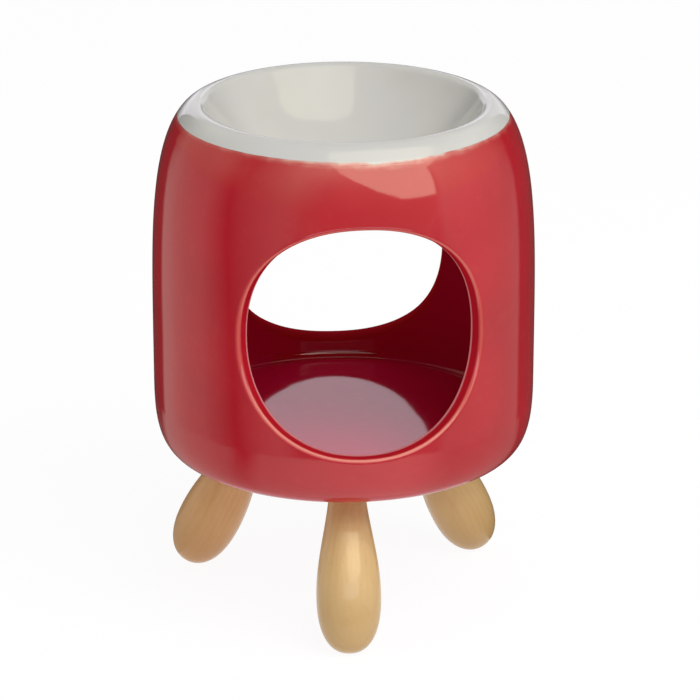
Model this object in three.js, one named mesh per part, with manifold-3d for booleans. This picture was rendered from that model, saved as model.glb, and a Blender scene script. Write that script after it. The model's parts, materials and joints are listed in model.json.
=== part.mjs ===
// Ceramic aroma lamp: a red-glazed drum with a round candle opening front and rear, a white oil bowl
// luted into the drum's mouth, and three turned wooden legs held to the underside by glued dowels.
// Millimetres, +Z up. The ground is z = 0, the drum's axis is the Z axis, the front opening faces -Y.

import * as THREE from 'three';
import { mergeVertices } from 'three/addons/utils/BufferGeometryUtils.js';
import Module from 'manifold-3d';

const wasm = await Module();
wasm.setup();

// Drum
const STAND_HEIGHT = 41.6;      // ground to the drum's underside
const BODY_HEIGHT = 93.4;       // underside to the rim's crest
const GIRDLE_RADIUS = 50;       // the drum at its widest
const GIRDLE_RISE = 19.4;       // underside to the widest height
const UNDERSIDE_CORNER = 8.4;   // width of the rounding below the girdle
const SHOULDER_WIDTH = 12.5;    // girdle radius less the radius of the rim's crest
const WALL = 4;
const FLOOR = 6.6;
const FLOOR_CORNER = 2;         // rounding between the chamber's floor and wall

// The outline is two quarter superellipses that meet at the girdle, with these powers
const BASE_POWERS = { across: 2.7, along: 2.95 };
const SHOULDER_POWERS = { across: 1.95, along: 4.4 };

// Candle openings, nearly round on the unrolled wall and cut square to it
const OPENING_HALF_WIDTH = 31.7;
const OPENING_HALF_HEIGHT = 29.9;
const OPENING_POWER = 2.17;     // superellipse; 2 would be an ellipse
const OPENINGS = {              // cut by eye: degrees from -Y, chamber floor to the lowest point
  front: { bearing: 0, sill: 7.4 },
  rear: { bearing: 177.4, sill: 6.6 },
};
const LIP_ROUND = 1.8;          // rounding of the openings' outer and inner edges

// Oil bowl
const RIM_BAND = 5.2;           // width of the white rim, from the crest to the glaze line
const RIM_ROUND = 1.4;          // rounding between the crest and the bowl's inside
const BOWL_DEPTH = 22;          // crest to the lowest point inside
const BOWL_WALL = 4;            // thickness of the bowl's bottom
const LEDGE = 3.8;              // width of the rim's underside that sits on the drum
const SPIGOT_LENGTH = 1.8;      // collar that drops into the drum's mouth

// Legs
const LEG_INSET = 25.5;         // girdle to where the legs' axes meet the underside
const LEG_SPLAY = 27.5;         // degrees from the vertical
const LEG_CLOCK = { front: -94.3, rear_left: 152.1, rear_right: 29.5 };   // degrees from +X
const LEG_NECK_RADIUS = 4.5;
const LEG_BELLY_RADIUS = 8.4;
const LEG_TOE = 15;             // belly to the blunt tip
const TOE_POWER = 2.35;         // superellipse; 2 would be an ellipse
const FOOT_CUT = 0.4;           // depth sanded off each toe, to stand flat

// Dowels
const DOWEL_RADIUS = 2.5;
const DOWEL_IN_BODY = 2.6;
const DOWEL_IN_LEG = 12;
const DOWEL_CHAMFER = 0.5;

// Glue and luting lines, which keep every seated pair apart
const GLUE_GAP = 0.3;

// Fineness of the facets, and how far a cutter runs past what it cuts
const DRUM_SEGMENTS = 60;
const OPENING_SEGMENTS = 48;
const LEG_SEGMENTS = 24;
const DOWEL_SEGMENTS = 16;
const SHOULDER_STEPS = 16;
const BASE_STEPS = 8;
const FLOOR_CORNER_STEPS = 5;
const LIP_STEPS = 3;
const BOWL_STEPS = { inside: 10, underside: 8, lip: 3 };
const LEG_STEPS = { toe: 8, neck: 8 };
const WELD = 1e-4;
const OVERRUN = 8;

// Sizes that follow from those above
const GIRDLE_Z = STAND_HEIGHT + GIRDLE_RISE;
const FLOOR_Z = STAND_HEIGHT + FLOOR;
const RIM_Z = STAND_HEIGHT + BODY_HEIGHT;
const SHOULDER_RISE = RIM_Z - GIRDLE_Z;
const RIM_RADIUS = GIRDLE_RADIUS - SHOULDER_WIDTH;
const CHAMBER_RADIUS = GIRDLE_RADIUS - WALL;
const GLAZE_LINE_RADIUS = RIM_RADIUS + RIM_BAND;
const GLAZE_LINE_Z = shoulderHeight(GLAZE_LINE_RADIUS);
const SEAT_Z = GLAZE_LINE_Z - GLUE_GAP;
const SPIGOT_RADIUS = GLAZE_LINE_RADIUS - LEDGE;
const MOUTH_RADIUS = SPIGOT_RADIUS + GLUE_GAP;
const SOCKET_RADIUS = DOWEL_RADIUS + GLUE_GAP;
const LEG_RING_RADIUS = GIRDLE_RADIUS - LEG_INSET;
const SPLAY = THREE.MathUtils.degToRad(LEG_SPLAY);
const TOE_DUAL = TOE_POWER / (TOE_POWER - 1);
const TOE_LONG = (LEG_TOE * Math.cos(SPLAY)) ** TOE_DUAL;
const TOE_WIDE = (LEG_BELLY_RADIUS * Math.sin(SPLAY)) ** TOE_DUAL;
const TOE_DROP = (TOE_LONG + TOE_WIDE) ** (1 / TOE_DUAL);     // centre of the belly to the lowest point
const LEG_LENGTH = (STAND_HEIGHT + FOOT_CUT - TOE_DROP) / Math.cos(SPLAY);   // underside to belly

const ROUND = { across: 2, along: 2 };
const BLUNT = { across: TOE_POWER, along: TOE_POWER };
const { Matrix4, Vector2, Vector3 } = THREE;

const redGlaze = new THREE.MeshStandardMaterial({ color: 0xb52f30, roughness: 0.12, metalness: 0 });
const whiteGlaze = new THREE.MeshStandardMaterial({ color: 0xd6d4cc, roughness: 0.15, metalness: 0 });
const legWood = new THREE.MeshStandardMaterial({ color: 0xd2a878, roughness: 0.4, metalness: 0 });
const dowelWood = new THREE.MeshStandardMaterial({ color: 0xc69a66, roughness: 0.7, metalness: 0 });

// Radius of the drum's outside at a height
function drumRadius(z) {
  const below = z < GIRDLE_Z;
  const width = below ? UNDERSIDE_CORNER : SHOULDER_WIDTH;
  const powers = below ? BASE_POWERS : SHOULDER_POWERS;
  const along = Math.abs(z - GIRDLE_Z) / (below ? GIRDLE_RISE : SHOULDER_RISE);
  return GIRDLE_RADIUS - width + width * (1 - along ** powers.along) ** (1 / powers.across);
}

// Height of the drum's shoulder at a radius
function shoulderHeight(radius) {
  const across = (radius - RIM_RADIUS) / SHOULDER_WIDTH;
  return GIRDLE_Z + SHOULDER_RISE * (1 - across ** SHOULDER_POWERS.across) ** (1 / SHOULDER_POWERS.along);
}

// Outline of a quarter superellipse, from its widest point to its highest, or lowest for a negative rise
function quarter(innerRadius, widestZ, width, rise, powers, steps) {
  const outline = [];
  for (let i = 0; i <= steps; i += 1) {
    const turn = (i / steps) * (Math.PI / 2);
    const across = Math.cos(turn) ** (2 / powers.across);
    const along = Math.sin(turn) ** (2 / powers.along);
    outline.push(new Vector2(innerRadius + width * across, widestZ + rise * along));
  }
  return outline;
}

// Outline of a dish cut from a ball, from its rim down to its lowest point
function dish(rim, lowestZ, steps) {
  const depth = rim.y - lowestZ;
  const ball = (rim.x ** 2 + depth ** 2) / (2 * depth);
  const outline = [];
  for (let i = 0; i <= steps; i += 1) {
    const turn = Math.asin(rim.x / ball) * (1 - i / steps);
    outline.push(new Vector2(ball * Math.sin(turn), lowestZ + ball * (1 - Math.cos(turn))));
  }
  return outline;
}

// An upward outline moved square to itself, towards the axis
function inset(outline, distance) {
  return outline.map((point, i) => {
    const before = outline[Math.max(i - 1, 0)];
    const after = outline[Math.min(i + 1, outline.length - 1)];
    const along = after.clone().sub(before).normalize();
    return new Vector2(point.x - distance * along.y, point.y + distance * along.x);
  });
}

// The part of an inward outline that lies outside a radius, ended exactly on it
function outsideOf(outline, radius) {
  const end = outline.findIndex((point) => point.x <= radius);
  const [last, next] = [outline[end - 1], outline[end]];
  const share = (last.x - radius) / (last.x - next.x);
  return [...outline.slice(0, end), last.clone().lerp(next, share)];
}

// Solid of revolution about Z, from an outline of radius and height that starts and ends on the axis
function revolve(outline, segments) {
  return new THREE.LatheGeometry(outline, segments).rotateX(Math.PI / 2);
}

// Round bar along Z with chamfered ends
function bar(radius, bottom, top, chamfer) {
  return revolve([
    new Vector2(0, bottom),
    new Vector2(radius - chamfer, bottom),
    new Vector2(radius, bottom + chamfer),
    new Vector2(radius, top - chamfer),
    new Vector2(radius - chamfer, top),
    new Vector2(0, top),
  ], DOWEL_SEGMENTS);
}

// Closed skin over rings of points that turn anticlockwise seen from the tip that closes the first one
function loft(rings, firstTip, lastTip) {
  const count = rings[0].length;
  const corners = [...rings.flat(), firstTip, lastTip];
  const tips = rings.length * count;
  const lastRing = tips - count;
  const triangles = [];
  for (let i = 0; i < count; i += 1) {
    const next = (i + 1) % count;
    triangles.push(tips, i, next);
    for (let near = 0; near < lastRing; near += count) {
      const far = near + count;
      triangles.push(near + i, far + next, near + next);
      triangles.push(near + i, far + i, far + next);
    }
    triangles.push(tips + 1, lastRing + next, lastRing + i);
  }
  return new THREE.BufferGeometry().setFromPoints(corners).setIndex(triangles);
}

// Shape as a solid that can be cut, with its shared corners welded
function solid(geometry) {
  geometry.deleteAttribute('normal');
  geometry.deleteAttribute('uv');
  const welded = mergeVertices(geometry, WELD);
  const index = welded.index.array;
  const triangles = [];
  for (let i = 0; i < index.length; i += 3) {
    const [a, b, c] = index.slice(i, i + 3);
    if (a !== b && b !== c && c !== a) triangles.push(a, b, c);
  }
  return new wasm.Manifold(new wasm.Mesh({
    numProp: 3,
    vertProperties: new Float32Array(welded.attributes.position.array),
    triVerts: new Uint32Array(triangles),
  }));
}

// Named mesh of a solid
function piece(name, body, material) {
  const { vertProperties, triVerts } = body.getMesh();
  const geometry = new THREE.BufferGeometry();
  geometry.setAttribute('position', new THREE.BufferAttribute(vertProperties, 3));
  geometry.setIndex(new THREE.BufferAttribute(triVerts, 1));
  geometry.computeVertexNormals();
  const mesh = new THREE.Mesh(geometry, material);
  mesh.name = name;
  return mesh;
}

// Drum and bowl share the shoulder's outline
const shoulder = quarter(
  RIM_RADIUS, GIRDLE_Z, SHOULDER_WIDTH, SHOULDER_RISE, SHOULDER_POWERS, SHOULDER_STEPS,
);

// Plug that cuts an opening: it flares at both faces of the wall, which rounds the lip
function openingPlug({ bearing, sill }) {
  const middleZ = FLOOR_Z + sill + OPENING_HALF_HEIGHT;
  const round = Math.min(LIP_ROUND, WALL / 2);
  const edge = quarter(0, 0, round, round, ROUND, LIP_STEPS);
  const section = [
    { depth: -OVERRUN, flare: round },
    ...edge.map(({ x, y }) => ({ depth: round - x, flare: round - y })),
    ...edge.reverse().map(({ x, y }) => ({ depth: WALL - round + x, flare: round - y })),
    { depth: WALL + OVERRUN, flare: round },
  ];
  const wrapRadius = GIRDLE_RADIUS - WALL / 2;
  const onWall = (turn, z, depth) => {
    const radius = drumRadius(z) - depth;
    return new Vector3(radius * Math.sin(turn), -radius * Math.cos(turn), z);
  };
  const squared = (share) => Math.sign(share) * Math.abs(share) ** (2 / OPENING_POWER);
  const rings = section.map(({ depth, flare }) => {
    const ring = [];
    for (let i = 0; i < OPENING_SEGMENTS; i += 1) {
      const turn = (i / OPENING_SEGMENTS) * 2 * Math.PI;
      const across = (OPENING_HALF_WIDTH + flare) * squared(Math.cos(turn));
      const up = (OPENING_HALF_HEIGHT + flare) * squared(Math.sin(turn));
      ring.push(onWall(across / wrapRadius, middleZ + up, depth));
    }
    return ring;
  });
  const plug = loft(rings, onWall(0, middleZ, -OVERRUN), onWall(0, middleZ, WALL + OVERRUN));
  return plug.rotateZ(THREE.MathUtils.degToRad(bearing));
}

// Place of a leg and its dowel before they turn about the drum: bar axis Z becomes the splayed axis
const legPlace = new Matrix4()
  .makeTranslation(LEG_RING_RADIUS, 0, STAND_HEIGHT)
  .multiply(new Matrix4().makeRotationY(-SPLAY));

function bodyShell() {
  const base = quarter(
    GIRDLE_RADIUS - UNDERSIDE_CORNER, GIRDLE_Z, UNDERSIDE_CORNER, -GIRDLE_RISE, BASE_POWERS, BASE_STEPS,
  );
  const cornerRadius = CHAMBER_RADIUS - FLOOR_CORNER;
  const cornerZ = FLOOR_Z + FLOOR_CORNER;
  const chamberCorner = quarter(
    cornerRadius, cornerZ, FLOOR_CORNER, -FLOOR_CORNER, ROUND, FLOOR_CORNER_STEPS,
  );
  const outline = [
    new Vector2(0, STAND_HEIGHT),
    ...base.reverse(),
    ...shoulder.slice(1).filter((point) => point.y < SEAT_Z),
    new Vector2(drumRadius(SEAT_Z), SEAT_Z),
    new Vector2(MOUTH_RADIUS, SEAT_Z),
    ...outsideOf(inset(shoulder, WALL), MOUTH_RADIUS).reverse(),
    ...chamberCorner,
    new Vector2(0, FLOOR_Z),
  ];
  let shell = solid(revolve(outline, DRUM_SEGMENTS));
  for (const opening of Object.values(OPENINGS)) {
    shell = shell.subtract(solid(openingPlug(opening)));
  }
  for (const clock of Object.values(LEG_CLOCK)) {
    const socket = bar(SOCKET_RADIUS, -OVERRUN, DOWEL_IN_BODY + GLUE_GAP, 0).applyMatrix4(legPlace);
    shell = shell.subtract(solid(socket.rotateZ(THREE.MathUtils.degToRad(clock))));
  }
  return shell;
}

function oilBowl() {
  const bottomZ = RIM_Z - BOWL_DEPTH;
  const spigot = new Vector2(SPIGOT_RADIUS, GLAZE_LINE_Z - SPIGOT_LENGTH);
  const sideSlope = 2 * Math.atan(BOWL_DEPTH / RIM_RADIUS);   // leaves the rounded lip without a crease
  const lip = [];
  for (let i = 1; i <= BOWL_STEPS.lip; i += 1) {
    const turn = sideSlope * (i / BOWL_STEPS.lip);
    lip.push(new Vector2(
      RIM_RADIUS - RIM_ROUND * Math.sin(turn),
      RIM_Z - RIM_ROUND * (1 - Math.cos(turn)),
    ));
  }
  const outline = [
    ...dish(spigot, bottomZ - BOWL_WALL, BOWL_STEPS.underside).reverse(),
    new Vector2(SPIGOT_RADIUS, GLAZE_LINE_Z),
    new Vector2(GLAZE_LINE_RADIUS, GLAZE_LINE_Z),
    ...shoulder.filter((point) => point.y > GLAZE_LINE_Z),
    ...lip,
    ...dish(lip.at(-1), bottomZ, BOWL_STEPS.inside).slice(1),
  ];
  return solid(revolve(outline, DRUM_SEGMENTS));
}

function leg() {
  const outline = quarter(0, -LEG_LENGTH, LEG_BELLY_RADIUS, -LEG_TOE, BLUNT, LEG_STEPS.toe).reverse();
  for (let i = 1; i <= LEG_STEPS.neck; i += 1) {
    const rise = i / LEG_STEPS.neck;
    const share = (1 + Math.cos(rise * Math.PI)) / 2;
    const radius = THREE.MathUtils.lerp(LEG_NECK_RADIUS, LEG_BELLY_RADIUS, share);
    outline.push(new Vector2(radius, LEG_LENGTH * (rise - 1)));
  }
  outline.push(new Vector2(LEG_NECK_RADIUS, OVERRUN), new Vector2(0, OVERRUN));
  const bore = bar(SOCKET_RADIUS, -DOWEL_IN_LEG - GLUE_GAP, 2 * OVERRUN, 0);
  const span = 2 * (LEG_RING_RADIUS + LEG_LENGTH + LEG_TOE);
  const slab = () => new THREE.BoxGeometry(span, span, span);
  return solid(revolve(outline, LEG_SEGMENTS).applyMatrix4(legPlace))
    .subtract(solid(bore.applyMatrix4(legPlace)))
    .subtract(solid(slab().translate(0, 0, STAND_HEIGHT - GLUE_GAP + span / 2)))
    .subtract(solid(slab().translate(0, 0, -span / 2)));
}

function dowel() {
  const geometry = bar(DOWEL_RADIUS, -DOWEL_IN_LEG, DOWEL_IN_BODY, DOWEL_CHAMFER);
  return solid(geometry.applyMatrix4(legPlace));
}

const lamp = new THREE.Group();
lamp.add(piece('body_shell', bodyShell(), redGlaze));
lamp.add(piece('oil_bowl', oilBowl(), whiteGlaze));
for (const [place, clock] of Object.entries(LEG_CLOCK)) {
  const station = new THREE.Group();
  station.rotation.z = THREE.MathUtils.degToRad(clock);
  station.add(piece(`leg_${place}`, leg(), legWood));
  station.add(piece(`dowel_${place}`, dowel(), dowelWood));
  lamp.add(station);
}

export default lamp;
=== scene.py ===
# Looks of a ceramic aroma lamp: a red-glazed drum, a white-glazed oil bowl and three turned wooden legs
import json
import math

import bmesh
import bpy
import numpy as np
from mathutils import Matrix, Vector


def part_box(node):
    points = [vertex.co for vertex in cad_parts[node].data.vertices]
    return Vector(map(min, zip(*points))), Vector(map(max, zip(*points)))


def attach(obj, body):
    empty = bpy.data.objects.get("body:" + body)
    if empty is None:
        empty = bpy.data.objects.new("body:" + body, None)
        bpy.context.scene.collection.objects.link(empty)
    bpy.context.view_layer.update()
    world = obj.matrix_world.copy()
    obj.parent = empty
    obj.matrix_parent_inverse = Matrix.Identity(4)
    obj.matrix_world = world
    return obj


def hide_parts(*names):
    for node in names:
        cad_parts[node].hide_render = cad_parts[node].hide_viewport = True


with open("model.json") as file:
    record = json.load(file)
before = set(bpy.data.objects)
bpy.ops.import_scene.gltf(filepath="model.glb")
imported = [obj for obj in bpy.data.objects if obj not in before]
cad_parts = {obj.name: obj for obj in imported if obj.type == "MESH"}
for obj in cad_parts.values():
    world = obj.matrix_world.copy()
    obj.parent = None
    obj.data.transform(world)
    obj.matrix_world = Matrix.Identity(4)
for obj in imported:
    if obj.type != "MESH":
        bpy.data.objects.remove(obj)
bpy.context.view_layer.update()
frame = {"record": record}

# Sizes read from the frame, in metres
shell_low, shell_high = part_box("body_shell")
bowl_low, bowl_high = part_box("oil_bowl")
mounts = {mount["name"]: mount for mount in frame["record"]["mounts"]}
STAND = shell_low.z
GIRDLE = shell_high.x
RIM_Z = bowl_high.z
GLAZE_LINE = bowl_high.x
FLOOR_Z = mounts["candle_floor"]["pos_m"][2]

# Drum: the outlines that the solids have too
GIRDLE_RISE = 0.0194
GIRDLE_Z = STAND + GIRDLE_RISE
UNDERSIDE_CORNER = 0.0084
SHOULDER_WIDTH = 0.0125
WALL = 0.004
FLOOR_CORNER = 0.002
CHAMBER = GIRDLE - WALL
CIRCLE = (2, 2)
BASE_POWERS = (2.7, 2.95)
SHOULDER_POWERS = (1.95, 4.4)
RIM = GIRDLE - SHOULDER_WIDTH
SHOULDER_RISE = RIM_Z - GIRDLE_Z

# Candle openings: superellipses on the unrolled wall; the rear one is turned a little round the drum
OPENING_HALF_WIDTH = 0.0317
OPENING_HALF_HEIGHT = 0.0299
OPENING_POWER = 2.17
FRONT_SILL = 0.0074
REAR_SILL = 0.0066
FRONT_Z = FLOOR_Z + FRONT_SILL + OPENING_HALF_HEIGHT
REAR_Z = FLOOR_Z + REAR_SILL + OPENING_HALF_HEIGHT
REAR_TURN = math.radians(-2.6)

# Rounds of the openings' edges, after the photograph; the flat land of the lip lies between them
OUTER_ARRIS = 0.0012
INNER_ARRIS = 0.00045
REAR_INNER_ARRIS = 0.0024

# The unrolled wall that the openings are cut from
WRAP = GIRDLE - WALL / 2
PATCH_LOW = FLOOR_Z + FLOOR_CORNER
PATCH_MARGIN = 0.0058
PATCH_HIGH = FRONT_Z + OPENING_HALF_HEIGHT + PATCH_MARGIN

# Oil bowl
RIM_ROUND = 0.0022
BOWL_DEPTH = 0.022
LEDGE = 0.0038
SPIGOT = GLAZE_LINE - LEDGE
SPIGOT_LENGTH = 0.0018
GLUE_GAP = 0.0003
MOUTH = SPIGOT + GLUE_GAP

# Legs and their dowels; a leg's clock is its bearing in degrees from +X
LEG_INSET = 0.0255
LEG_RING = GIRDLE - LEG_INSET
LEG_SPLAY = math.radians(27.5)
LEG_CLOCK = {"front": -94.3, "rear_left": 152.1, "rear_right": 29.5}
# Painted light on each leg: red bounce light from the drum on the rear left one, shade on the rear right one
LEG_PAINTED_BOUNCE_AND_SHADE = {"front": (1, 1, 1), "rear_left": (1.03, 0.85, 0.75), "rear_right": (0.90, 0.86, 0.78)}
LEG_NECK = 0.0045
LEG_BELLY = 0.0084
LEG_TOE = 0.015
# Painted shade on each leg starts this far above the toe and deepens down to its end
TOE_SHADE_REACH = 0.006
TOE_POWER = 2.35
TOE_DUAL = TOE_POWER / (TOE_POWER - 1)
TOE_LONG = (LEG_TOE * math.cos(LEG_SPLAY)) ** TOE_DUAL
TOE_WIDE = (LEG_BELLY * math.sin(LEG_SPLAY)) ** TOE_DUAL
TOE_DROP = (TOE_LONG + TOE_WIDE) ** (1 / TOE_DUAL)
FOOT_CUT = 0.0004
LEG_LENGTH = (STAND + FOOT_CUT - TOE_DROP) / math.cos(LEG_SPLAY)
DOWEL_RADIUS = 0.0025
DOWEL_TOP = 0.0026
DOWEL_BOTTOM = -0.012
DOWEL_CHAMFER = 0.0005
DOWEL_FLUTES = 12
FLUTE_DEPTH = 0.00015

# Fineness of the meshes
COLUMNS = 192
SIDE_STEPS = 48
BASE_STEPS = 20
FLAT_STEPS = 16
CORNER_STEPS = 14
SHOULDER_STEPS = 20
VAULT_STEPS = 16
PATCH_STEPS = 26
PATCH_EASE = 1.6
ARRIS_STEPS = 14
LAND_STEPS = 12
BOWL_STEPS = {"under": 32, "rim": 28, "lip": 12, "inside": 48}
LEG_STEPS = {"toe": 28, "club": 40, "neck": 6}
DOWEL_STEPS = 6
FLUTE_COLUMNS = 8
LEG_COLUMNS = 72
SHARP_EDGE = math.radians(40)
WELD = 1e-6

# Clearance between surfaces that would share a plane, and the slack when a face is told by its place
HAIRLINE = 0.00001

# Camera, from a fit of the drum's outline to the photograph's frame
PHOTO_PIXELS = 700
FOCAL_PIXELS = 3535.4
SENSOR = 36.0
CAMERA_DISTANCE = 0.9311
CAMERA_ELEVATION = math.radians(20.07)
CAMERA_AZIMUTH = math.radians(-6.28)
AIM_RIGHT = 0.00167
AIM_HEIGHT = 0.06696


# Outlines

def spread(start, end, steps):
    """Values in even steps from start to end, with both ends."""
    return np.linspace(start, end, steps + 1)


def superquarter(inner, widest_z, width, rise, powers, turns):
    """Radius and height along a quarter superellipse; turn 0 is its widest point."""
    radius = inner + width * np.cos(turns) ** (2 / powers[0])
    height = widest_z + rise * np.sin(turns) ** (2 / powers[1])
    return np.stack([radius, height], axis=-1)


def dish(rim, rim_z, lowest_z, steps):
    """Radius and height along a dish cut from a ball, from its rim down to its lowest point."""
    depth = rim_z - lowest_z
    ball = (rim ** 2 + depth ** 2) / (2 * depth)
    turns = spread(math.asin(rim / ball), 0, steps)
    return np.stack([ball * np.sin(turns), lowest_z + ball * (1 - np.cos(turns))], axis=-1)


def disc(radius, z):
    """Radius and height along a flat disc, from its edge to its middle."""
    inward = spread(radius, 0, FLAT_STEPS)
    return np.stack([inward, np.full_like(inward, z)], axis=-1)


def turn_at(z, widest_z, rise, powers):
    """The turn at which a superquarter passes a height."""
    return math.asin(((z - widest_z) / rise) ** (powers[1] / 2))


def bulge(z, upper, lower):
    """Radius at heights z of a wall made of an upper and a lower superquarter that meet at the girdle."""
    def half(inner, width, rise, powers):
        along = np.clip((z - GIRDLE_Z) / rise, 0, 1)
        return inner + width * (1 - along ** powers[1]) ** (1 / powers[0])
    return np.where(z >= GIRDLE_Z, half(*upper), half(*lower))


BASE_OUTSIDE = (GIRDLE - UNDERSIDE_CORNER, UNDERSIDE_CORNER, STAND - GIRDLE_Z, BASE_POWERS)
CHAMBER_INSIDE = (CHAMBER, 0.0, FLOOR_Z - GIRDLE_Z, BASE_POWERS)
SHOULDER_OUTSIDE = (RIM, SHOULDER_WIDTH, SHOULDER_RISE, SHOULDER_POWERS)
SHOULDER_INSIDE = (RIM, SHOULDER_WIDTH - WALL, SHOULDER_RISE - WALL, SHOULDER_POWERS)


def outside_radius(z):
    return bulge(z, SHOULDER_OUTSIDE, BASE_OUTSIDE)


def inside_radius(z):
    return bulge(z, SHOULDER_INSIDE, CHAMBER_INSIDE)


def quarter_rows(shape, start_turn, end_turn, steps):
    inner, width, rise, powers = shape
    return superquarter(inner, GIRDLE_Z, width, rise, powers, spread(start_turn, end_turn, steps))


def glaze_line_height():
    across = (GLAZE_LINE - RIM) / SHOULDER_WIDTH
    powers = SHOULDER_POWERS
    return GIRDLE_Z + SHOULDER_RISE * (1 - across ** powers[0]) ** (1 / powers[1])


GLAZE_LINE_Z = glaze_line_height()


# Mesh making

def on_drum(bearing, z, radius):
    """Points at a bearing from the front, in radians, at a height and a radius."""
    bearing, z, radius = np.broadcast_arrays(bearing, z, radius)
    return np.stack([radius * np.sin(bearing), -radius * np.cos(bearing), z], axis=-1)


def lathe(outline, columns=COLUMNS):
    """Grid of an outline of radius and height turned about Z."""
    bearings = np.arange(columns) / columns * 2 * math.pi
    outline = np.asarray(outline)
    return on_drum(bearings[None, :], outline[:, 1:2], outline[:, 0:1])


def grid_quads(rows, columns, first):
    index = first + np.arange(rows * columns).reshape(rows, columns)
    turned = np.roll(index, -1, axis=1)
    return np.stack([index[:-1], turned[:-1], turned[1:], index[1:]], axis=-1).reshape(-1, 4)


def skin(name, grids):
    """Closed mesh object from grids whose columns run round, welded where their edges meet."""
    points = []
    quads = []
    count = 0
    for grid in grids:
        rows, columns, _ = grid.shape
        points.append(grid.reshape(-1, 3))
        quads.append(grid_quads(rows, columns, count))
        count += rows * columns
    mesh = bpy.data.meshes.new(name)
    mesh.from_pydata(np.concatenate(points).tolist(), [], np.concatenate(quads).tolist())
    work = bmesh.new()
    work.from_mesh(mesh)
    bmesh.ops.remove_doubles(work, verts=work.verts, dist=WELD)
    bmesh.ops.dissolve_degenerate(work, edges=work.edges, dist=WELD)
    bmesh.ops.recalc_face_normals(work, faces=work.faces)
    for face in work.faces:
        face.smooth = True
    for edge in work.edges:
        edge.smooth = edge.calc_face_angle(0) < SHARP_EDGE
    work.to_mesh(mesh)
    work.free()
    piece = bpy.data.objects.new(name, mesh)
    bpy.context.scene.collection.objects.link(piece)
    return piece


def dress(piece, node, slot, *finishes):
    """The piece stands for a CAD node, rides with it and takes its finish."""
    for finish in finishes:
        piece.data.materials.append(finish)
    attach(piece, "root")
    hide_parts(node)


def mark(piece, name, values):
    """Stores a number or a vector for each of a piece's vertices, for its finish to read."""
    values = np.asarray(values, np.float32)
    kind, field = ("FLOAT", "value") if values.ndim == 1 else ("FLOAT_VECTOR", "vector")
    attribute = piece.data.attributes.new(name, kind, "POINT")
    attribute.data.foreach_set(field, values.ravel())


def corners_of(piece):
    places = np.empty(len(piece.data.vertices) * 3, np.float32)
    piece.data.vertices.foreach_get("co", places)
    return places.reshape(-1, 3)


# Drum

def opening_reach(turns, growth):
    """From an opening's middle to its edge, along turns on the unrolled wall."""
    across = np.abs(np.cos(turns)) / (OPENING_HALF_WIDTH + growth)
    up = np.abs(np.sin(turns)) / (OPENING_HALF_HEIGHT + growth)
    return (across ** OPENING_POWER + up ** OPENING_POWER) ** (-1 / OPENING_POWER)


def patch_border():
    """Closed loop round half the unrolled wall, as arc length and height, from its lower corner."""
    reach = WRAP * math.pi / 2
    across = spread(-reach, reach, COLUMNS // 2)[:-1]
    up = spread(PATCH_LOW, PATCH_HIGH, SIDE_STEPS)[:-1]
    low = np.stack([across, np.full_like(across, PATCH_LOW)], axis=-1)
    right = np.stack([np.full_like(up, reach), up], axis=-1)
    high = np.stack([-across, np.full_like(across, PATCH_HIGH)], axis=-1)
    left = np.stack([np.full_like(up, -reach), PATCH_LOW + PATCH_HIGH - up], axis=-1)
    return np.concatenate([low, right, high, left])


def opening_grids(facing, turned, middle_z, inner_arris):
    """Outside patch, lip and inside patch round an opening that is turned from where it faces."""
    border = patch_border()
    middle = np.array([turned * WRAP, middle_z])
    turns = np.arctan2(border[:, 1] - middle[1], border[:, 0] - middle[0])
    rays = np.stack([np.cos(turns), np.sin(turns)], axis=-1)
    steps = (spread(0, 1, PATCH_STEPS) ** PATCH_EASE)[:, None, None]

    def edge(growth):
        return middle + opening_reach(turns, growth)[:, None] * rays

    def on_wall(flat, radius_at, depth):
        return on_drum(facing + flat[..., 0] / WRAP, flat[..., 1], radius_at(flat[..., 1]) - depth)

    grids = []
    for radius_at, arris, inward in ((outside_radius, OUTER_ARRIS, 1), (inside_radius, inner_arris, -1)):
        grids.append(on_wall(edge(arris) + (border - edge(arris)) * steps, radius_at, 0))
        bends = spread(0, math.pi / 2, ARRIS_STEPS)
        sunk = arris * (1 - np.cos(bends)) * inward
        growth = arris * (1 - np.sin(bends))
        grids.append(np.array([on_wall(edge(out), radius_at, down) for out, down in zip(growth, sunk)]))
    _, outer, _, inner = grids
    land = outer[-1] + (inner[-1] - outer[-1]) * spread(0, 1, LAND_STEPS)[:, None, None]
    return [*grids, land]


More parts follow.
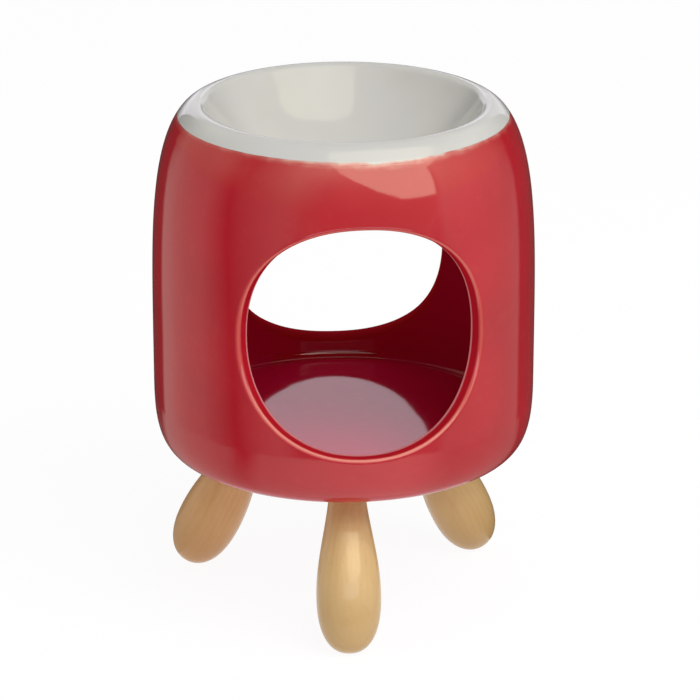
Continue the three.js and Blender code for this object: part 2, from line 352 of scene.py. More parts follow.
def drum_grids():
    low_out = turn_at(PATCH_LOW, GIRDLE_Z, STAND - GIRDLE_Z, BASE_POWERS)
    high_out = turn_at(PATCH_HIGH, GIRDLE_Z, SHOULDER_OUTSIDE[2], SHOULDER_POWERS)
    high_in = turn_at(PATCH_HIGH, GIRDLE_Z, SHOULDER_INSIDE[2], SHOULDER_POWERS)
    seam_z = GLAZE_LINE_Z - HAIRLINE
    seam_turn = turn_at(seam_z, GIRDLE_Z, SHOULDER_RISE, SHOULDER_POWERS)
    mouth_turn = math.acos(((MOUTH - RIM) / SHOULDER_INSIDE[1]) ** (SHOULDER_POWERS[0] / 2))
    base = quarter_rows(BASE_OUTSIDE, low_out, math.pi / 2, BASE_STEPS)
    underside = disc(base[-1, 0], STAND)
    corner = superquarter(CHAMBER - FLOOR_CORNER, PATCH_LOW, FLOOR_CORNER, -FLOOR_CORNER, CIRCLE,
                          spread(0, math.pi / 2, CORNER_STEPS))
    floor = disc(corner[-1, 0], FLOOR_Z)
    shoulder = quarter_rows(SHOULDER_OUTSIDE, high_out, seam_turn, SHOULDER_STEPS)
    vault = quarter_rows(SHOULDER_INSIDE, high_in, mouth_turn, VAULT_STEPS)
    mouth = np.array([shoulder[-1], [MOUTH, seam_z], vault[-1]])
    lathed = [base, underside, corner, floor, shoulder, vault, mouth]
    grids = [lathe(outline) for outline in lathed]
    grids += opening_grids(0, 0, FRONT_Z, INNER_ARRIS)
    grids += opening_grids(math.pi, REAR_TURN, REAR_Z, REAR_INNER_ARRIS)
    return grids


# Lines along the lips, in radii of the edge they follow: the outer one is thin glaze, partly a painted
# highlight; the pale one is a painted highlight and is wider below
ARRIS_MIDDLE = 0.3
ARRIS_REACH = 0.75
PALE_FROM_EDGE = 1.3
PALE_SPREAD = 1.5

# Where the drum's finishes change: how deep in the wall a land starts, and how far to either side of the
# middle the chamber's corner stays glossy at the rear
LAND_START = OUTER_ARRIS * 0.9
GLOSSY_CORNER = CHAMBER / 3


def lip_lines(places):
    """1 along the outer arris of the openings' lips and the front one's inner arris, 0 away from each."""
    bearing = np.arctan2(places[:, 0], -places[:, 1])
    from_rear = np.abs(bearing) > math.pi / 2
    turned = np.where(from_rear, np.mod(bearing, 2 * math.pi) - math.pi - REAR_TURN, bearing)
    up = places[:, 2] - np.where(from_rear, REAR_Z, FRONT_Z)
    turns = np.arctan2(up, turned * WRAP)
    from_edge = np.hypot(turned * WRAP, up) - opening_reach(turns, 0)
    away = np.hypot(places[:, 0], places[:, 1])
    depth = outside_radius(places[:, 2]) - away
    height = away - inside_radius(places[:, 2])
    out = from_edge / OUTER_ARRIS - ARRIS_MIDDLE
    down = depth / OUTER_ARRIS - ARRIS_MIDDLE
    outer = np.hypot(out, down) / ARRIS_REACH
    reach = 1 + PALE_SPREAD * np.clip(-up / OPENING_HALF_HEIGHT, 0, 1) ** 2
    inner = np.hypot(from_edge / INNER_ARRIS, height / INNER_ARRIS - PALE_FROM_EDGE) / reach + from_rear
    on_wall = (places[:, 2] > PATCH_LOW) & (places[:, 2] < PATCH_HIGH)
    return [np.where(on_wall, np.clip(1 - far, 0, 1), 0) for far in (outer, inner)]


def glaze_places(piece):
    """The finish of each face: 1 on the chamber's wall, 2 on an opening's land, 3 on the floor, else 0."""
    middles = np.empty(len(piece.data.polygons) * 3, np.float32)
    piece.data.polygons.foreach_get("center", middles)
    x, y, z = middles.reshape(-1, 3).T
    away = np.hypot(x, y)
    rear_corner = (z < PATCH_LOW) & (y > 0) & (np.abs(x) < GLOSSY_CORNER)
    chamber = (away < inside_radius(z) + HAIRLINE) & (z > FLOOR_Z + HAIRLINE) & ~rear_corner
    land = (away > inside_radius(z) + HAIRLINE) & (away < outside_radius(z) - LAND_START)
    land &= (z > PATCH_LOW) & (z < PATCH_HIGH)
    floor = (np.abs(z - FLOOR_Z) < HAIRLINE) & (away < CHAMBER - FLOOR_CORNER)
    return np.select([land, chamber, floor], [2, 1, 3], 0).astype(np.int32)


def make_drum(*finishes):
    """The drum with four red finishes: outside, chamber wall, lands and chamber floor."""
    drum = skin("drum", drum_grids())
    places = corners_of(drum)
    outside = np.hypot(places[:, 0], places[:, 1]) > inside_radius(places[:, 2]) + WALL / 2
    mark(drum, "above_line", np.where(outside, places[:, 2] - GLAZE_LINE_Z, -WALL))
    for name, line in zip(("outer_arris", "inner_arris"), lip_lines(places)):
        mark(drum, name, line)
    drum.data.polygons.foreach_set("material_index", glaze_places(drum))
    dress(drum, "body_shell", "red_glaze", *finishes)


# Oil bowl

def make_bowl(finish):
    seam_turn = turn_at(GLAZE_LINE_Z, GIRDLE_Z, SHOULDER_RISE, SHOULDER_POWERS)
    spigot_z = GLAZE_LINE_Z - SPIGOT_LENGTH
    under = dish(SPIGOT, spigot_z, bowl_low.z, BOWL_STEPS["under"])[::-1]
    collar = np.array([[SPIGOT, spigot_z], [SPIGOT, GLAZE_LINE_Z], [GLAZE_LINE, GLAZE_LINE_Z]])
    rim = quarter_rows(SHOULDER_OUTSIDE, seam_turn, math.pi / 2, BOWL_STEPS["rim"])
    turns = spread(0, 2 * math.atan(BOWL_DEPTH / RIM), BOWL_STEPS["lip"])
    lip = np.stack([RIM - RIM_ROUND * np.sin(turns), RIM_Z - RIM_ROUND * (1 - np.cos(turns))], axis=-1)
    inside = dish(*lip[-1], RIM_Z - BOWL_DEPTH, BOWL_STEPS["inside"])
    bowl = skin("bowl", [lathe(outline) for outline in (under, collar, rim, lip, inside)])
    places = corners_of(bowl)
    hollow = np.interp(np.hypot(places[:, 0], places[:, 1]), inside[::-1, 0], inside[::-1, 1])
    in_hollow = places[:, 2] > hollow - WALL / 2
    mark(bowl, "above_line", np.where(in_hollow, WALL, places[:, 2] - GLAZE_LINE_Z))
    dress(bowl, "oil_bowl", "white_glaze", finish)


# Legs and dowels

def leg_place(clock):
    """The frame of a leg: Z along it, with its origin where its axis meets the drum's underside."""
    turn = Matrix.Rotation(math.radians(clock), 4, "Z")
    return turn @ Matrix.Translation((LEG_RING, 0, STAND)) @ Matrix.Rotation(-LEG_SPLAY, 4, "Y")


def leg_radius(z):
    share = (1 - np.cos(np.clip(-z / LEG_LENGTH, 0, 1) * math.pi)) / 2
    return LEG_NECK + (LEG_BELLY - LEG_NECK) * share


def put(grid, matrix):
    """Points of a leg's frame as places in the lamp's frame."""
    return grid @ matrix[:3, :3].T + matrix[:3, 3]


def mark_grain(piece, matrix, place):
    """Stores where each vertex is in its own length of wood, its leg's painted bounce light or shade and the
    share of painted shade towards the toe.
    """
    along = put(corners_of(piece), np.linalg.inv(matrix))
    mark(piece, "grain", along + (0.0, 0.0, LEG_CLOCK[place]))
    mark(piece, "tint", np.tile(LEG_PAINTED_BOUNCE_AND_SHADE[place], (len(along), 1)))
    mark(piece, "end_grain", np.clip((TOE_SHADE_REACH - along[:, 2] - LEG_LENGTH) / (TOE_SHADE_REACH + LEG_TOE), 0, 1))


def make_leg(place, clock, finish):
    matrix = np.array(leg_place(clock))
    around = np.arange(LEG_COLUMNS) / LEG_COLUMNS * 2 * math.pi
    ring = on_drum(around, 0, LEG_NECK)
    seat = (STAND - HAIRLINE - matrix[2, 3] - ring @ matrix[2, :3]) / matrix[2, 2]
    neck_end = seat.min() - LEG_NECK / 2
    blunt = (TOE_POWER, TOE_POWER)
    toe_turns = spread(math.pi / 2, 0, LEG_STEPS["toe"])
    toe = superquarter(0, -LEG_LENGTH, LEG_BELLY, -LEG_TOE, blunt, toe_turns)
    club_z = spread(-LEG_LENGTH, neck_end, LEG_STEPS["club"])
    club = np.stack([leg_radius(club_z), club_z], axis=-1)
    neck_z = [neck_end + (seat - neck_end) * share for share in spread(0, 1, LEG_STEPS["neck"])]
    neck = np.array([on_drum(around, z, leg_radius(z)) for z in neck_z])
    shares = np.array([1.0, 0.5, 0.0])[:, None, None]
    top = neck[-1] * shares + neck[-1].mean(axis=0) * (1 - shares)
    grids = [put(grid, matrix) for grid in (lathe(toe, LEG_COLUMNS), lathe(club, LEG_COLUMNS), neck, top)]
    for grid in grids:
        grid[..., 2] = np.clip(grid[..., 2], 0, STAND - HAIRLINE)
    leg = skin(f"wooden_leg_{place}", grids)
    mark_grain(leg, matrix, place)
    dress(leg, f"leg_{place}", "leg_wood", finish)


def make_dowel(place, clock, finish):
    matrix = np.array(leg_place(clock))
    columns = DOWEL_FLUTES * FLUTE_COLUMNS
    around = np.arange(columns) / columns * 2 * math.pi
    flute = FLUTE_DEPTH * np.clip(np.cos(around * DOWEL_FLUTES), 0, 1)
    rows = [(0, DOWEL_BOTTOM), (DOWEL_RADIUS - DOWEL_CHAMFER, DOWEL_BOTTOM)]
    side = spread(DOWEL_BOTTOM + DOWEL_CHAMFER, DOWEL_TOP - DOWEL_CHAMFER, DOWEL_STEPS)
    rows += [(DOWEL_RADIUS, z) for z in side]
    rows += [(DOWEL_RADIUS - DOWEL_CHAMFER, DOWEL_TOP), (0, DOWEL_TOP)]
    grid = np.array([on_drum(around, z, np.maximum(radius - flute, 0)) for radius, z in rows])
    dowel = skin(f"dowel_pin_{place}", [put(grid, matrix)])
    mark_grain(dowel, matrix, place)
    dress(dowel, f"dowel_{place}", "dowel_wood", finish)


# Finishes

class Value:
    """One output of a node; arithmetic on it adds Math nodes to its finish."""

    def __init__(self, finish, socket):
        self.finish = finish
        self.socket = socket

    def math(self, operation, *others):
        sockets = dict(enumerate((self, *others)))
        return self.finish.node("ShaderNodeMath", {"operation": operation}, sockets)

    def __add__(self, other):
        return self.math("ADD", other)

    def __sub__(self, other):
        return self.math("SUBTRACT", other)

    def __rsub__(self, other):
        return self.finish.node("ShaderNodeMath", {"operation": "SUBTRACT"}, {0: other, 1: self})

    def __mul__(self, other):
        return self.math("MULTIPLY", other)

    def __pow__(self, other):
        return self.math("POWER", other)

    __radd__ = __add__
    __rmul__ = __mul__

    def between(self, low, high):
        """0 below low, 1 above high and smooth between."""
        settings = {"interpolation_type": "SMOOTHSTEP"}
        sockets = {"Value": self, "From Min": low, "From Max": high}
        return self.finish.node("ShaderNodeMapRange", settings, sockets, "Result")


class Finish:
    """A node tree that is filled from the back: patterns first, the shader last."""

    def __init__(self, owner):
        owner.use_nodes = True
        self.tree = owner.node_tree
        self.tree.nodes.clear()

    def node(self, kind, settings=None, sockets=None, output=0):
        """Adds a node, sets its settings, feeds its sockets and gives back one output."""
        made = self.tree.nodes.new(kind)
        for name, value in (settings or {}).items():
            setattr(made, name, value)
        for name, value in (sockets or {}).items():
            self.feed(self.socket(made.inputs, name), value)
        return Value(self, self.socket(made.outputs, output)) if made.outputs else made

    @staticmethod
    def socket(sockets, name):
        if isinstance(name, int):
            return sockets[name]
        return next(socket for socket in sockets if socket.name == name and socket.enabled)

    def feed(self, socket, value):
        if isinstance(value, Value):
            self.tree.links.new(value.socket, socket)
        elif socket.type == "RGBA":
            socket.default_value = (*value, 1)
        else:
            socket.default_value = value

    def place(self):
        return self.node("ShaderNodeTexCoord", output="Object")

    def marked(self, name, output="Fac"):
        """What a mesh stores at its vertices under a name."""
        return self.node("ShaderNodeAttribute", {"attribute_name": name}, None, output)

    def axes(self, vector):
        """X, Y and Z of a vector as three values."""
        split = self.node("ShaderNodeSeparateXYZ", sockets={"Vector": vector})
        outputs = split.socket.node.outputs
        return [Value(self, output) for output in outputs]

    def noise(self, vector, size, detail=2.0, rough=0.5, output="Fac"):
        """Noise whose lumps are about a size across, in metres."""
        sockets = {"Vector": vector, "Scale": 1 / size, "Detail": detail, "Roughness": rough}
        return self.node("ShaderNodeTexNoise", None, sockets, output)

    def mix(self, share, first, second, blend="MIX"):
        settings = {"data_type": "RGBA", "blend_type": blend}
        return self.node("ShaderNodeMix", settings, {"Factor": share, "A": first, "B": second}, "Result")

    def stretch(self, vector, factors):
        return self.node("ShaderNodeVectorMath", {"operation": "MULTIPLY"}, {0: vector, 1: factors})

    def bump(self, height, distance, strength=1.0):
        sockets = {"Height": height, "Distance": distance, "Strength": strength}
        return self.node("ShaderNodeBump", None, sockets, "Normal")

    def surface(self, shader):
        self.node("ShaderNodeOutputMaterial", None, {"Surface": shader})


def new_finish(name):
    material = bpy.data.materials.new(name)
    return material, Finish(material)


# Colours of the glaze: the red outside; in the chamber and on its floor a lighter, bluer red that is painted
# light;
# thin at the lips' outer arris, partly a painted highlight; a pale painted highlight along their inner arris
RED_DEEP = (0.44, 0.0085, 0.019)
RED_FULL = (0.51, 0.0110, 0.0235)
RED_CHAMBER_PAINTED_LIGHT = (0.53, 0.0060, 0.045)
RED_FLOOR_PAINTED_LIGHT = (0.60, 0.0060, 0.055)
RED_THIN = (0.66, 0.110, 0.085)
RED_PAINTED_HIGHLIGHT = (0.74, 0.30, 0.30)
WHITE_FULL = (0.618, 0.610, 0.580)
WHITE_WARM = (0.594, 0.582, 0.544)
WHITE_THIN = (0.70, 0.36, 0.29)
FLECK = (0.45, 0.40, 0.33)

# Gloss of each glaze, and how smooth the melt is
RED_GLOSS = 0.5
INSIDE_GLOSS = 0.15
LAND_GLOSS = 0.0
WHITE_GLOSS = 0.23
GLAZE_IOR = 1.52
GLAZE_ROUGHNESS = 0.045
MOTTLE_ROUGHNESS = 0.05

# The white glaze's border: how far it strays, dips and lifts, its softness and the thin coat below it
BORDER_WAVER = 0.0018
BORDER_DIP = 0.0005
BORDER_LIFT = 0.0011
BORDER_SOFT = 0.00035
BORDER_VEIL = 0.0022
SHORT_SHARE = 0.8
SIDES_FROM = GLAZE_LINE * 0.1
SIDES_FULL = GLAZE_LINE * 0.8

# Shares of a second colour: where the red is thin, on the lips, along the border and in flecks
THIN_SHARE = 0.07
LIP_SHARE = 0.75
LIP_RAGGED = 0.3
EDGE_SHARE = 0.6
FLECK_SHARE = 0.2
VEIL_LEAST = 0.3
VEIL_BRUSHED = 0.7

# Patterns in the glaze: their size across and the height of their relief
CLOUD = 0.03
MOTTLE = 0.004
FLECK_SIZE = 0.0007
FLECK_HEIGHT = 0.000003
RIPPLE = 0.013
FINE_RIPPLE = 0.0025
FINE_SHARE = 0.05
RIPPLE_HEIGHT = 0.00006
WHITE_HEIGHT = 0.00007
LONG_WAVER = 0.02
SHORT_WAVER = 0.004
BRUSH_STREAK = 0.008
BRUSH_FLATTENED = (1, 1, 12)


def above_border(finish, place):
    """Height above the white glaze's brushed border, which dips in front and rises towards the sides."""
    long_waver = finish.noise(place, LONG_WAVER, 1.0) - 0.5
    short_waver = finish.noise(place, SHORT_WAVER, 2.0) - 0.5
    waver = long_waver * BORDER_WAVER + short_waver * (BORDER_WAVER * SHORT_SHARE)
    across, _, _ = finish.axes(place)
    aside = across.math("ABSOLUTE").between(SIDES_FROM, SIDES_FULL)
    return finish.marked("above_line") + waver + BORDER_DIP - aside * BORDER_LIFT


def glaze(name, with_lip, gloss, deep=RED_DEEP, full=RED_FULL):
    """Glossy glaze over the whole pot: red, with white above the brushed border."""
    material, finish = new_finish(name)
    place = finish.place()
    cloud = finish.noise(place, CLOUD, 2.0)
    mottle = finish.noise(place, MOTTLE, 3.0, 0.6)
    fleck = finish.noise(place, FLECK_SIZE, 2.0).between(0.7, 0.8)
    red = finish.mix(cloud.between(0.3, 0.72), deep, full)
    red = finish.mix(mottle.between(0.5, 0.85) * THIN_SHARE, red, RED_THIN)
    if with_lip:
        # Thin glaze worn at the lips' outer arris, partly a painted highlight
        thin_and_painted_highlight = (finish.marked("outer_arris") + (mottle - 0.5) * LIP_RAGGED).between(0.2, 0.9)
        red = finish.mix(thin_and_painted_highlight * LIP_SHARE, red, RED_THIN)
        # A painted highlight, pale pink, along the front opening's inner arris, wider below
        painted_inner_highlight = (finish.marked("inner_arris") + (mottle - 0.5) * LIP_RAGGED).between(0.15, 0.7)
        red = finish.mix(painted_inner_highlight * LIP_SHARE, red, RED_PAINTED_HIGHLIGHT)
    height = above_border(finish, place)
    cover = height.between(-BORDER_SOFT, BORDER_SOFT)
    veil = height.between(-BORDER_VEIL, BORDER_SOFT)
    streaks = finish.noise(finish.stretch(place, BRUSH_FLATTENED), BRUSH_STREAK, 3.0, 0.6)
    brushed = streaks.between(0.25, 0.75)
    red = finish.mix(veil * veil * (VEIL_LEAST + brushed * VEIL_BRUSHED), red, WHITE_THIN)
    warm = finish.mix(cloud.between(0.35, 0.7), WHITE_FULL, WHITE_WARM)
    white = finish.mix(fleck * FLECK_SHARE, warm, FLECK)
    edge = cover * (1 - cover) * 4
    white = finish.mix(edge * EDGE_SHARE, white, WHITE_THIN)
    colour = finish.mix(cover, red, white)
    ripple = finish.noise(place, RIPPLE, 1.0) + finish.noise(place, FINE_RIPPLE, 1.0) * FINE_SHARE
    relief = ripple * RIPPLE_HEIGHT + cover * WHITE_HEIGHT + fleck * FLECK_HEIGHT
    sockets = {
        "Base Color": colour,
        "Roughness": GLAZE_ROUGHNESS + mottle * MOTTLE_ROUGHNESS,
        "IOR": GLAZE_IOR,
        "Specular IOR Level": gloss,
        "Normal": finish.bump(relief, 1.0),
    }
    finish.surface(finish.node("ShaderNodeBsdfPrincipled", None, sockets))
    return material


# Colours of the wood, its growth rings and the lacquer
WOOD_PALE = (0.690, 0.463, 0.196)
WOOD_MID = (0.605, 0.378, 0.146)
# The colour of the painted shade towards the toe
WOOD_TOE_SHADE = (0.540, 0.330, 0.128)
WOOD_DARK = (0.40, 0.22, 0.085)
RING_PITCH = 0.0017
HEART = (0.031, 0.012)
LACQUERED_ROUGHNESS = 0.45
BARE_ROUGHNESS = 0.62
STREAK_ROUGHNESS = 0.12
WOOD_GLOSS = 0.25
LACQUER = 0.62
LACQUER_ROUGHNESS = 0.05

# Patterns in the wood: their size across the grain, how they run along it and the share of the second colour
SWAY = 0.012
SWAY_REACH = (0.004, 0.004, 0.0)
STREAK = 0.0009
PORE = 0.00035
BLOTCH = 0.009
GRAIN_HEIGHT = 0.00002
GRAIN_STRENGTH = 0.6
ALONG_SWAY = (1, 1, 0.25)
ALONG_STREAK = (1, 1, 0.05)
ALONG_PORE = (1, 1, 0.12)
ALONG_BLOTCH = (1, 1, 0.5)
LATE_SHARE = 0.28
STREAK_SHARE = 0.4
BLOTCH_SHARE = 0.35
# How much of the painted shade towards the toe is laid on
TOE_SHADE_SHARE = 0.85
PORE_SHARE = 0.3


def turned_wood(name, lacquer):
    """Pale straight-grained wood, with growth rings, pores and ray flecks along the piece."""
    material, finish = new_finish(name)
    place = finish.marked("grain", "Vector")
    sway = finish.noise(finish.stretch(place, ALONG_SWAY), SWAY, 2.0, output="Color")
    bent = finish.node("ShaderNodeVectorMath", {"operation": "MULTIPLY_ADD"},
                       {0: sway, 1: SWAY_REACH, 2: place})
    x, y, _ = finish.axes(bent)
    from_heart = ((x + HEART[0]) ** 2.0 + (y + HEART[1]) ** 2.0) ** 0.5
    rings = (from_heart * (1 / RING_PITCH)).math("FRACT")
    late = rings.between(0.3, 0.9) * (1 - rings.between(0.9, 1.0))
    streak = finish.noise(finish.stretch(place, ALONG_STREAK), STREAK, 3.0, 0.6)
    pore = finish.noise(finish.stretch(place, ALONG_PORE), PORE, 1.0).between(0.68, 0.76)
    blotch = finish.noise(finish.stretch(place, ALONG_BLOTCH), BLOTCH, 2.0)
    colour = finish.mix(late * LATE_SHARE, WOOD_PALE, WOOD_MID)
    colour = finish.mix(streak.between(0.4, 0.8) * STREAK_SHARE, colour, WOOD_MID)
    colour = finish.mix(blotch.between(0.45, 0.8) * BLOTCH_SHARE, colour, WOOD_MID)
    # Painted shade: darker towards the toe, where less light falls
    colour = finish.mix(finish.marked("end_grain").between(0, 0.8) * TOE_SHADE_SHARE, colour, WOOD_TOE_SHADE)
    # Each leg's painted red bounce light or shade multiplies the colour
    colour = finish.mix(1.0, colour, finish.marked("tint", "Vector"), "MULTIPLY")
    colour = finish.mix(pore * PORE_SHARE, colour, WOOD_DARK)
    relief = streak * GRAIN_HEIGHT - pore * GRAIN_HEIGHT
    sockets = {
        "Base Color": colour,
        "Roughness": (LACQUERED_ROUGHNESS if lacquer else BARE_ROUGHNESS) + streak * STREAK_ROUGHNESS,
        "Specular IOR Level": WOOD_GLOSS,
        "Coat Weight": LACQUER if lacquer else 0.0,
        "Coat Roughness": LACQUER_ROUGHNESS,
        "Normal": finish.bump(relief, 1.0, GRAIN_STRENGTH),
    }
    finish.surface(finish.node("ShaderNodeBsdfPrincipled", None, sockets))
    return material


red_glaze = glaze("red_glaze", True, RED_GLOSS)
# The chamber's wall and floor take lighter, bluer reds: painted light
chamber_glaze = glaze("chamber_glaze", True, INSIDE_GLOSS, RED_CHAMBER_PAINTED_LIGHT, RED_CHAMBER_PAINTED_LIGHT)
land_glaze = glaze("land_glaze", True, LAND_GLOSS)
floor_glaze = glaze("floor_glaze", True, RED_GLOSS, RED_FLOOR_PAINTED_LIGHT, RED_FLOOR_PAINTED_LIGHT)
white_glaze = glaze("white_glaze", False, WHITE_GLOSS)
leg_wood = turned_wood("leg_wood", True)
dowel_wood = turned_wood("dowel_wood", False)

make_drum(red_glaze, chamber_glaze, land_glaze, floor_glaze)
make_bowl(white_glaze)
for place, clock in LEG_CLOCK.items():
    make_leg(place, clock, leg_wood)
    make_dowel(place, clock, dowel_wood)


# Studio

# The floor: how much of it glows where it is seen or mirrored, and where it only lights the lamp
FLOOR_SIZE = 4.0
FLOOR_GLOW = 0.9
FLOOR_LIFT = 0.5
FLOOR_WHITE = 1.03
PAPER = (0.92, 0.92, 0.92)
AMBIENT = 0.5

# Reflectors that only the glazes and the lacquer mirror. Their places are given as bearings on the drum, in
# degrees from the camera, where the camera sees them mirrored. First the low cards that stand round the
# lamp: bearings and the height of the cards' tops there, lower in front and behind.
RING_STEPS = 360
CARD_RADIUS = 0.16
CARD_BEND = 0.7
CARD_TOPS = (
    (-72, 0.128),
    (-64, 0.140),
    (-16, 0.140),
    (-12, 0.105),
    (26, 0.105),
    (30, 0.140),
    (64, 0.140),
    (72, 0.128),
)

# The tent behind the low cards. Each row of glows is a bearing and the glow there: on the low cards, then at
# the foot, at the middle and at the top of the tent.
TENT_RADIUS = 0.75
TENT_FOOT = 0.20
TENT_MIDDLE = 0.38
TENT_TOP = 0.67
TENT_END = 1.0
GLOW_MOST = 2.5
GLOWS = (
    (-90, 0.05, 0.05, 0.05, 1.20),
    (-71, 0.05, 0.05, 0.05, 1.20),
    (-69, 0.62, 0.30, 0.30, 1.20),
    (-64, 0.72, 0.68, 0.75, 1.20),
    (-47, 0.72, 0.74, 1.00, 1.00),
    (-42, 0.45, 0.54, 0.95, 0.95),
    (-37, 0.08, 0.14, 0.60, 0.50),
    (-32, 0.33, 0.40, 0.45, 0.50),
    (-20, 0.80, 0.82, 1.20, 1.45),
    (-16, 0.65, 0.82, 1.40, 1.90),
    (-13, 0.30, 0.60, 1.30, 1.95),
    (-5, 0.37, 0.45, 0.75, 2.10),
    (13, 0.40, 0.62, 0.90, 1.40),
    (29, 0.55, 0.74, 0.90, 1.40),
    (32, 0.90, 1.35, 1.85, 2.30),
    (42, 0.84, 1.12, 1.55, 1.60),
    (57, 0.57, 0.72, 0.75, 1.20),
    (64, 0.47, 0.30, 0.20, 1.20),
    (66, 0.08, 0.08, 0.08, 1.20),
    (90, 0.05, 0.05, 0.05, 1.20),
)

# The dark flag among the low cards leans: its foot is nearer to the camera
FLAG_BEARING = -36
FLAG_REACH = 9
FLAG_LEAN = 3.5

# A bright card in front, inside the low cards, which the front leg mirrors
FRONT_CARD_RADIUS = 0.155
FRONT_CARD_BEARINGS = (-16, 33)
FRONT_CARD_HEIGHTS = (0.072, 0.103)
FRONT_CARD_GLOW = 2.4
FRONT_CARD_STEPS = 24

# The floor near the lamp as the glazes mirror it, with the lamp's shadow behind it painted in as low glows:
# bearings from the camera, in degrees, and the glow beside the lamp and at the foot of the low cards
APRON_RADIUS = 0.05
APRON_GLOWS = (
    (-180, 0.05, 0.05),
    (-131, 0.25, 0.05),
    (-122, 0.30, 0.60),
    (-104, 0.60, 0.78),
    (-80, 0.80, 0.85),
    (-64, 0.74, 0.70),
    (-57, 0.75, 0.15),
    (-52, 0.80, 0.08),
    (-43, 0.95, 0.95),
    (-15, 1.20, 1.30),
    (20, 1.40, 1.50),
    (32, 1.35, 1.45),
    (44, 1.15, 1.20),
    (58, 0.88, 0.78),
    (90, 0.58, 0.63),
    (112, 0.20, 0.48),
    (120, 0.05, 0.08),
    (180, 0.05, 0.05),
)

# Tints of what is mirrored: plain low cards and floor, warm tent and soft box, cool backdrop and front card
PLAIN = (1.0, 1.0, 0.90)
WARM = (1.06, 1.0, 0.76)
COOL = (1.02, 0.985, 1.09)

# The backdrop behind the lamp: heights, in metres, and the glow there at its right end, in its middle and
# at its left end
BACKDROP_RADIUS = 0.68
BACKDROP_STEPS = 56
BACKDROP_STOPS = (-28, -11, -8, 8, 11, 28)
BACKDROP_GLOWS = (
    (0.00, 0.40, 0.10, 0.50),
    (0.14, 0.50, 0.10, 0.60),
    (0.20, 1.20, 0.10, 1.60),
    (0.25, 1.10, 0.10, 1.50),
    (0.27, 1.00, 1.25, 1.40),
    (0.34, 0.95, 1.25, 1.40),
    (0.37, 0.95, 2.00, 1.40),
    (0.43, 0.95, 2.00, 1.40),
    (0.46, 0.60, 0.40, 0.80),
    (0.70, 0.60, 0.40, 0.80),
)

# The soft box, as bearings from the camera and elevations seen from the lamp, in degrees
SOFTBOX_DISTANCE = 0.6
SOFTBOX_GLOW = 4.5
SOFTBOX_OUTLINE = (
    (-30, 80),
    (-22, 72),
    (-12, 50),
    (-2, 35),
    (6, 27),
    (20, 17),
    (35, 10),
    (57, 8),
    (58, 29),
    (72, 36),
    (76, 46),
    (90, 51),
    (97, 57),
    (100, 64),
    (91, 73),
    (70, 84),
)

# The key light, which only the diffuse colours see
KEY_BEARING = 36
KEY_ELEVATION = 46
KEY_DISTANCE = 1.0
KEY_SIZE = (0.75, 0.6)
KEY_RADIANCE = 4.0


def stage_piece(name, points, faces, material):
    mesh = bpy.data.meshes.new(name)
    mesh.from_pydata(points, [], faces)
    mesh.materials.append(material)
    made = bpy.data.objects.new(name, mesh)
    bpy.context.scene.collection.objects.link(made)
    return made


def only_mirrored(piece):
    piece.visible_camera = False
    piece.visible_diffuse = False
    piece.visible_shadow = False
    piece.visible_transmission = False


def seen_or_mirrored(finish):
    """1 for rays from the camera and for mirrored or refracted ones."""
    names = ("Is Camera Ray", "Is Glossy Ray", "Is Transmission Ray")
    camera, glossy, refracted = (finish.node("ShaderNodeLightPath", output=name) for name in names)
    return camera.math("MAXIMUM", glossy.math("MAXIMUM", refracted))


def glow(finish, strength, colour=(1, 1, 1), kind="Emission"):
    return finish.node("ShaderNode" + kind, None, {"Color": colour, "Strength": strength})


def make_floor():
    material, finish = new_finish("studio_floor")
    paper = finish.node("ShaderNodeBsdfDiffuse", None, {"Color": PAPER})
    share = seen_or_mirrored(finish) * (FLOOR_GLOW - FLOOR_LIFT) + FLOOR_LIFT
    mixed = finish.node("ShaderNodeMixShader", None, {0: share, 1: paper, 2: glow(finish, FLOOR_WHITE)})
    finish.surface(mixed)
    half = FLOOR_SIZE / 2
    corners = [(-half, -half, 0), (half, -half, 0), (half, half, 0), (-half, half, 0)]
    stage_piece("floor", corners, [(0, 1, 2, 3)], material)


def make_world():
    world = bpy.data.worlds.new("studio")
    bpy.context.scene.world = world
    finish = Finish(world)
    ambient = glow(finish, AMBIENT, kind="Background")
    backdrop = glow(finish, 1.0, kind="Background")
    sockets = {0: seen_or_mirrored(finish), 1: ambient, 2: backdrop}
    light = finish.node("ShaderNodeMixShader", None, sockets)
    finish.node("ShaderNodeOutputWorld", None, {"Surface": light})


def mirrored_from(bearings, radius):
    """Where a ring of a radius is, as bearings, when the drum's girdle mirrors it at bearings."""
    side = GIRDLE * np.sin(bearings)
    front = -GIRDLE * np.cos(bearings)
    reach = front + np.sqrt(radius ** 2 - side ** 2)
    return np.arctan2(side + reach * np.sin(2 * bearings), -front + reach * np.cos(2 * bearings))


def reflector_finish(name, colour):
    material, finish = new_finish(name)
    sockets = {0: finish.marked("glow"), 1: glow(finish, 0.0), 2: glow(finish, GLOW_MOST, colour)}
    finish.surface(finish.node("ShaderNodeMixShader", None, sockets))
    return material


def make_reflector(name, rows, glows, colour):
    """Sheet through rows of points, with a glow at each point."""
    count = len(rows[0])
    faces = []
    for low in range(0, count * (len(rows) - 1), count):
        high = low + count
        faces += [(low + i, low + i + 1, high + i + 1, high + i) for i in range(count - 1)]
    sheet = stage_piece(name, np.concatenate(rows).tolist(), faces, reflector_finish(name, colour))
    mark(sheet, "glow", np.concatenate(glows) / GLOW_MOST)
    only_mirrored(sheet)


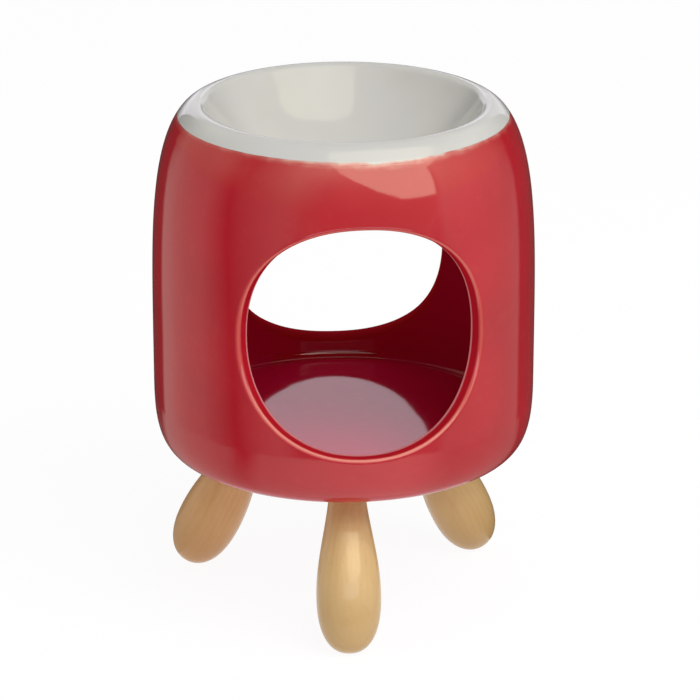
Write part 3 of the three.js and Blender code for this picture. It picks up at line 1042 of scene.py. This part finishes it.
def make_reflectors():
    bearings = spread(-90, 90, RING_STEPS)
    stops, *columns = np.array(GLOWS).T
    cards, foot, middle, top = (np.interp(bearings, stops, glows) for glows in columns)
    lean = FLAG_LEAN * np.exp(-((bearings - FLAG_BEARING) / FLAG_REACH) ** 2)
    leant = mirrored_from(np.radians(bearings + lean), CARD_RADIUS) + CAMERA_AZIMUTH
    upright = mirrored_from(np.radians(bearings), CARD_RADIUS) + CAMERA_AZIMUTH
    card_top = np.interp(bearings, *np.array(CARD_TOPS).T)
    sides = ((leant, HAIRLINE), (upright, card_top * CARD_BEND), (upright, card_top))
    rows = [on_drum(around, z, CARD_RADIUS) for around, z in sides]
    make_reflector("low_cards", rows, [cards, cards, foot], PLAIN)
    around = mirrored_from(np.radians(bearings), TENT_RADIUS) + CAMERA_AZIMUTH
    heights = (HAIRLINE, TENT_FOOT, TENT_MIDDLE, TENT_TOP, TENT_END)
    rows = [on_drum(around, z, TENT_RADIUS) for z in heights]
    make_reflector("tent", rows, [foot, foot, middle, top, top], WARM)


def make_front_card():
    turned = np.radians(spread(*FRONT_CARD_BEARINGS, FRONT_CARD_STEPS)) + CAMERA_AZIMUTH
    rows = [on_drum(turned, z, FRONT_CARD_RADIUS) for z in FRONT_CARD_HEIGHTS]
    make_reflector("front_card", rows, [np.full(len(turned), FRONT_CARD_GLOW)] * 2, COOL)


def make_apron():
    stops, *columns = np.array(APRON_GLOWS).T
    around = spread(-180, 180, RING_STEPS)
    turned = np.radians(around) + CAMERA_AZIMUTH
    rows = [on_drum(turned, HAIRLINE, radius) for radius in (APRON_RADIUS, CARD_RADIUS)]
    make_reflector("floor_apron", rows, [np.interp(around, stops, glows) for glows in columns], PLAIN)


def make_backdrop():
    from_rear = spread(BACKDROP_STOPS[0], BACKDROP_STOPS[-1], BACKDROP_STEPS)
    turned = np.radians(from_rear) + math.pi + CAMERA_AZIMUTH
    rows = [on_drum(turned, z, BACKDROP_RADIUS) for z, *_ in BACKDROP_GLOWS]
    glows = [np.interp(from_rear, BACKDROP_STOPS, np.repeat(trio, 2)) for _, *trio in BACKDROP_GLOWS]
    make_reflector("backdrop", rows, glows, COOL)


def way_to(bearing, elevation):
    """Direction at a bearing from the camera and an elevation, both in degrees."""
    turn = math.radians(bearing) + CAMERA_AZIMUTH
    rise = math.radians(elevation)
    return Vector((math.cos(rise) * math.sin(turn), -math.cos(rise) * math.cos(turn), math.sin(rise)))


def make_softbox():
    material, finish = new_finish("softbox")
    finish.surface(glow(finish, SOFTBOX_GLOW, WARM))
    origin = Vector((0, 0, GLAZE_LINE_Z))
    corners = [origin + way_to(*corner) * SOFTBOX_DISTANCE for corner in SOFTBOX_OUTLINE]
    middle = sum(corners, Vector()) / len(corners)
    count = len(corners)
    faces = [(i, (i + 1) % count, count) for i in range(count)]
    only_mirrored(stage_piece("softbox", [*corners, middle], faces, material))


def make_key_light():
    light = bpy.data.lights.new("key_light", "AREA")
    light.shape = "RECTANGLE"
    light.size, light.size_y = KEY_SIZE
    light.energy = KEY_RADIANCE * math.pi * light.size * light.size_y
    way = way_to(KEY_BEARING, KEY_ELEVATION)
    key = bpy.data.objects.new("key_light", light)
    key.location = Vector((0, 0, FRONT_Z)) + way * KEY_DISTANCE
    key.rotation_euler = way.to_track_quat("Z", "Y").to_euler()
    key.visible_glossy = False
    bpy.context.scene.collection.objects.link(key)


def make_camera():
    lens = bpy.data.cameras.new("camera")
    lens.sensor_width = SENSOR
    lens.lens = FOCAL_PIXELS * SENSOR / PHOTO_PIXELS
    right = Vector((math.cos(CAMERA_AZIMUTH), math.sin(CAMERA_AZIMUTH), 0))
    ahead = Vector((-math.sin(CAMERA_AZIMUTH), math.cos(CAMERA_AZIMUTH), 0))
    sight = ahead * math.cos(CAMERA_ELEVATION) - Vector((0, 0, math.sin(CAMERA_ELEVATION)))
    up = right.cross(sight)
    place = Matrix((right, up, -sight)).transposed().to_4x4()
    place.translation = right * AIM_RIGHT + Vector((0, 0, AIM_HEIGHT)) - sight * CAMERA_DISTANCE
    camera = bpy.data.objects.new("camera", lens)
    camera.matrix_world = place
    bpy.context.scene.collection.objects.link(camera)
    bpy.context.scene.camera = camera


make_floor()
make_world()
make_reflectors()
make_front_card()
make_apron()
make_backdrop()
make_softbox()
make_key_light()
make_camera()
bpy.context.scene.view_settings.view_transform = "Standard"

bpy.context.view_layer.update()
